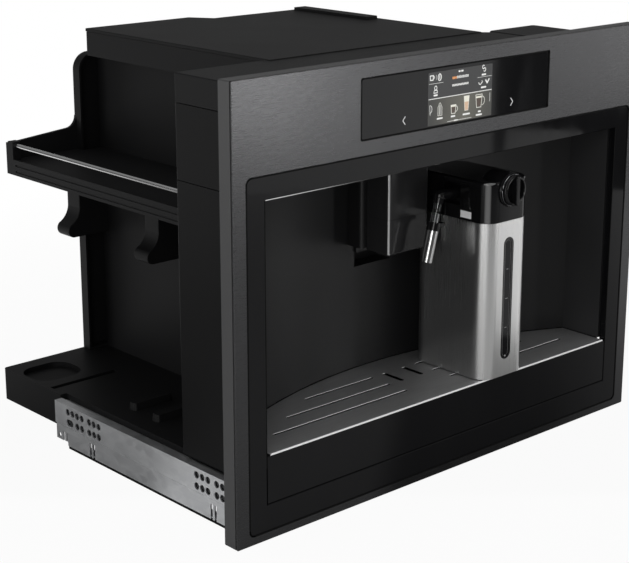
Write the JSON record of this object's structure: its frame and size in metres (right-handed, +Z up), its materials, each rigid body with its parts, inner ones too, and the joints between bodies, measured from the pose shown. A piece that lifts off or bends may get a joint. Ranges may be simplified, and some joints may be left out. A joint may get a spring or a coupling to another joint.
{
  "type": "built-in coffee machine",
  "caption": "Built-in bean-to-cup coffee machine on pull-out rails, with cup niche, milk jug, height-adjusted spout, drip drawer and front display.",
  "frame": {"origin": "under the middle of the whole object, level with the front panel's lower edge", "axes": "+X to the right seen from the front, -Y out of the front, +Z up"},
  "size_m": [0.597, 0.48, 0.455],
  "materials": {
    "rail_zinc": "bright zinc-plated steel",
    "screw_steel": "zinc-plated screws",
    "black_steel": "black stainless, brushed",
    "panel_grey": "dark grey sheet",
    "black_glass": "gloss black glass",
    "display_glass": "gloss display glass",
    "satin_black": "satin black plastic",
    "body_black": "fine-grained black plastic",
    "gloss_black": "gloss black plastic",
    "jug_steel": "brushed stainless",
    "grid_steel": "brushed stainless",
    "tip_steel": "bright steel",
    "clear_plastic": "clear plastic",
    "boiler_steel": "plain metal",
    "burr_steel": "hardened steel",
    "white_plastic": "grey technical plastic",
    "board_green": "circuit board"
  },
  "bodies": {
    "cabinet_rails": {"rail_outer_left": "rail_zinc", "rail_outer_right": "rail_zinc"},
    "middle_slides": {"rail_middle_left": "rail_zinc", "rail_middle_right": "rail_zinc"},
    "machine": {"rail_inner_left": "rail_zinc", "rail_inner_right": "rail_zinc", "rail_screws": "screw_steel", "base_pan": "body_black", "front_skin": "black_steel", "panel_carrier": "panel_grey", "glass_frame": "black_glass", "display_glass": "display_glass", "control_board": "board_green", "niche_liner": "satin_black", "milk_connector": "satin_black", "side_cover_left": "body_black", "side_cover_right": "body_black", "head_housing": "body_black", "top_cover": "body_black", "top_cap_right": "body_black", "bay_wall": "body_black", "tower_right_wall": "body_black", "tower_head": "body_black", "rear_panel": "body_black", "power_inlet": "white_plastic", "bay_shelf": "body_black", "bay_rod": "tip_steel", "shelf_hooks": "body_black", "side_box": "body_black", "bean_hopper": "clear_plastic", "inner_frame": "boiler_steel", "boiler": "boiler_steel", "pump": "body_black", "brew_frame": "body_black", "brew_chamber": "white_plastic", "grinder_body": "body_black", "power_board": "board_green"},
    "coffee_spout": {"spout_cover": "gloss_black", "spout_nozzles": "gloss_black"},
    "spout_carriage": {"spout_carriage": "satin_black"},
    "drip_drawer": {"drawer_front": "gloss_black", "drip_basin": "satin_black", "drip_grid": "grid_steel", "grounds_box": "body_black"},
    "milk_jug": {"jug_shell": "jug_steel", "window_bezel": "gloss_black", "jug_window": "clear_plastic", "jug_flask": "clear_plastic", "jug_lid": "gloss_black", "lid_plate": "jug_steel"},
    "froth_knob": {"froth_knob": "gloss_black"},
    "milk_spout": {"milk_spout_arm": "gloss_black", "milk_spout_tube": "clear_plastic", "milk_spout_collar": "gloss_black", "milk_spout_tip": "tip_steel"},
    "water_tank": {"water_tank": "clear_plastic", "tank_lid": "body_black"},
    "bean_lid": {"bean_lid": "body_black"},
    "grinder_burr": {"grinder_burr": "burr_steel"},
    "brew_piston": {"brew_piston": "white_plastic"}
  },
  "joints": [
    {"name": "machine_slide", "type": "slide", "parent": "cabinet_rails", "child": "machine", "axis": [0, -1, 0], "range_m": [0, 0.31]},
    {"name": "middle_slide", "type": "slide", "parent": "cabinet_rails", "child": "middle_slides", "axis": [0, -1, 0], "range_m": [0, 0.155]},
    {"name": "spout_height", "type": "slide", "parent": "machine", "child": "coffee_spout", "axis": [0, 0, 1], "range_m": [-0.06, 0]},
    {"name": "carriage_height", "type": "slide", "parent": "machine", "child": "spout_carriage", "axis": [0, 0, 1], "range_m": [-0.015, 0]},
    {"name": "drawer_slide", "type": "slide", "parent": "machine", "child": "drip_drawer", "axis": [0, -1, 0], "range_m": [0, 0.22]},
    {"name": "jug_pull", "type": "slide", "parent": "machine", "child": "milk_jug", "axis": [0, -1, 0], "range_m": [0, 0.15]},
    {"name": "froth_turn", "type": "hinge", "parent": "milk_jug", "child": "froth_knob", "pos_m": [0.078, -0.229, 0.298], "axis": [0, 1, 0], "range_deg": [-45, 90]},
    {"name": "milk_spout_swing", "type": "hinge", "parent": "milk_jug", "child": "milk_spout", "pos_m": [0.043, -0.177, 0.291], "axis": [-1, 0, 0], "range_deg": [0, 80]},
    {"name": "tank_pull", "type": "slide", "parent": "machine", "child": "water_tank", "axis": [1, 0, 0], "range_m": [0, 0.11]},
    {"name": "bean_lid_hinge", "type": "hinge", "parent": "machine", "child": "bean_lid", "pos_m": [0.161, 0.1385, 0.369], "axis": [0, -1, 0], "range_deg": [0, 85]},
    {"name": "burr_spin", "type": "hinge", "parent": "machine", "child": "grinder_burr", "pos_m": [0.078, 0.125, 0.235], "axis": [0, 0, 1], "continuous": true},
    {"name": "brew_lift", "type": "slide", "parent": "machine", "child": "brew_piston", "axis": [0, 0, 1], "range_m": [0, 0.036]}
  ],
  "couplings": [
    {"joint": "middle_slide", "follows": "machine_slide", "ratio": 0.5},
    {"joint": "carriage_height", "follows": "spout_height", "ratio": 0.25}
  ]
}
